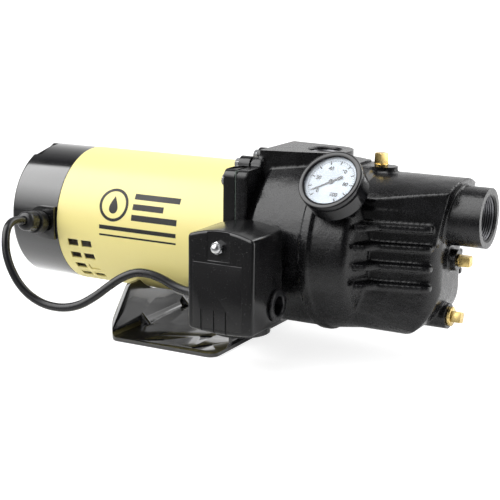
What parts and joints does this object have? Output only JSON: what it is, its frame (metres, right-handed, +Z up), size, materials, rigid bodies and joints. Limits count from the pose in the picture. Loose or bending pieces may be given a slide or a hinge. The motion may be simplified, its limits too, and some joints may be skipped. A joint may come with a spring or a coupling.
{
  "type": "shallow well jet pump",
  "caption": "Electric shallow well jet pump: round motor on a steel foot, cast pump casing with suction and discharge ports, pressure gauge and pressure switch.",
  "frame": {"origin": "centre of the foot's underside, straight below the shaft", "axes": "+X along the shaft towards the suction port, +Z up through the discharge port, -Y the side of the gauge and the pressure switch"},
  "size_m": [0.5247, 0.2708, 0.2164],
  "materials": {
    "cream_paint": "satin cream enamel on sheet steel",
    "black_enamel": "glossy black enamel",
    "black_casting": "black paint over a sand-cast skin",
    "machined_face": "bare machined steel",
    "zinc_plate": "bright zinc plate",
    "brass": "turned brass, slightly dulled",
    "rubber": "moulded black rubber",
    "black_plastic": "satin black moulding",
    "grey_plastic": "glass-filled moulding",
    "phenolic": "brown phenolic",
    "dial_white": "white dial paint",
    "gauge_glass": "clear flat window",
    "copper_winding": "varnished copper wire",
    "cast_aluminium": "die-cast",
    "ceramic": "lapped ceramic",
    "gasket": "fibre sheet"
  },
  "bodies": {
    "root": {"motor_shell": "cream_paint", "rear_cap": "black_enamel", "foot_bracket": "black_enamel", "adapter_bracket": "black_casting", "pump_casing": "black_casting", "stator_core": "machined_face", "through_bolt_1": "machined_face", "through_bolt_2": "machined_face", "through_bolt_3": "machined_face", "through_bolt_4": "machined_face", "rear_bearing": "machined_face", "front_bearing": "machined_face", "range_spring": "machined_face", "casing_bolt_1": "zinc_plate", "casing_bolt_2": "zinc_plate", "casing_bolt_3": "zinc_plate", "casing_bolt_4": "zinc_plate", "casing_bolt_5": "zinc_plate", "casing_bolt_6": "zinc_plate", "casing_bolt_7": "zinc_plate", "foot_bolt_1": "zinc_plate", "foot_bolt_2": "zinc_plate", "switch_nipple": "zinc_plate", "switch_base": "zinc_plate", "gauge_movement": "brass", "switch_grommet": "rubber", "strain_relief": "rubber", "motor_lead": "rubber", "start_capacitor": "black_plastic", "gauge_case": "black_plastic", "gland_body": "black_plastic", "gland_nut": "black_plastic", "diffuser": "grey_plastic", "venturi_tube": "grey_plastic", "nozzle": "grey_plastic", "start_switch": "phenolic", "contact_block": "phenolic", "gauge_dial": "dial_white", "gauge_lens": "gauge_glass", "winding_rear": "copper_winding", "winding_front": "copper_winding", "rear_end_bell": "cast_aluminium", "seal_seat": "ceramic", "casing_gasket": "gasket"},
    "rotor": {"rotor_core": "machined_face", "motor_shaft": "machined_face", "water_slinger": "rubber", "cooling_fan": "black_plastic", "seal_head": "rubber", "impeller": "grey_plastic"},
    "governor": {"governor_collar": "machined_face"},
    "pointer": {"gauge_pointer": "black_plastic"},
    "cover": {"switch_cover": "black_enamel"},
    "cover_nut": {"cover_nut": "zinc_plate"},
    "lever": {"contact_lever": "zinc_plate"},
    "range_nut": {"range_nut": "zinc_plate"},
    "priming_plug": {"priming_plug": "brass"},
    "jet_access_plug": {"jet_access_plug": "brass"},
    "drain_plug": {"drain_plug": "brass"}
  },
  "joints": [
    {"name": "rotor_spin", "type": "hinge", "parent": "root", "child": "rotor", "pos_m": [0, 0, 0.11], "axis": [1, 0, 0], "continuous": true},
    {"name": "governor_slide", "type": "slide", "parent": "rotor", "child": "governor", "axis": [-1, 0, 0], "range_m": [0, 0.004], "stiffness_N_per_m": 600, "springref_m": -0.004},
    {"name": "pointer_turn", "type": "hinge", "parent": "root", "child": "pointer", "pos_m": [0.184, -0.093, 0.19], "axis": [-0.0592, -0.7524, 0.6561], "range_deg": [-262, 0], "stiffness_Nm_per_rad": 0.0001, "springref_deg": 17.19},
    {"name": "cover_pull", "type": "slide", "parent": "root", "child": "cover", "axis": [0, -1, 0], "range_m": [0, 0.08]},
    {"name": "cover_nut_turn", "type": "hinge", "parent": "cover", "child": "cover_nut", "pos_m": [0.097, -0.155, 0.128], "axis": [0, -1, 0], "continuous": true},
    {"name": "lever_tilt", "type": "hinge", "parent": "root", "child": "lever", "pos_m": [0.099, -0.094, 0.056], "axis": [1, 0, 0], "range_deg": [-3, 0], "stiffness_Nm_per_rad": 2, "springref_deg": 5.73},
    {"name": "range_nut_turn", "type": "hinge", "parent": "root", "child": "range_nut", "pos_m": [0.099, -0.129, 0.102], "axis": [0, 0, 1], "continuous": true},
    {"name": "priming_plug_lift", "type": "slide", "parent": "root", "child": "priming_plug", "axis": [0, 0, 1], "range_m": [0, 0.02]},
    {"name": "jet_access_plug_draw", "type": "slide", "parent": "root", "child": "jet_access_plug", "axis": [1, 0, 0], "range_m": [0, 0.02]},
    {"name": "drain_plug_draw", "type": "slide", "parent": "root", "child": "drain_plug", "axis": [1, 0, 0], "range_m": [0, 0.02]}
  ]
}
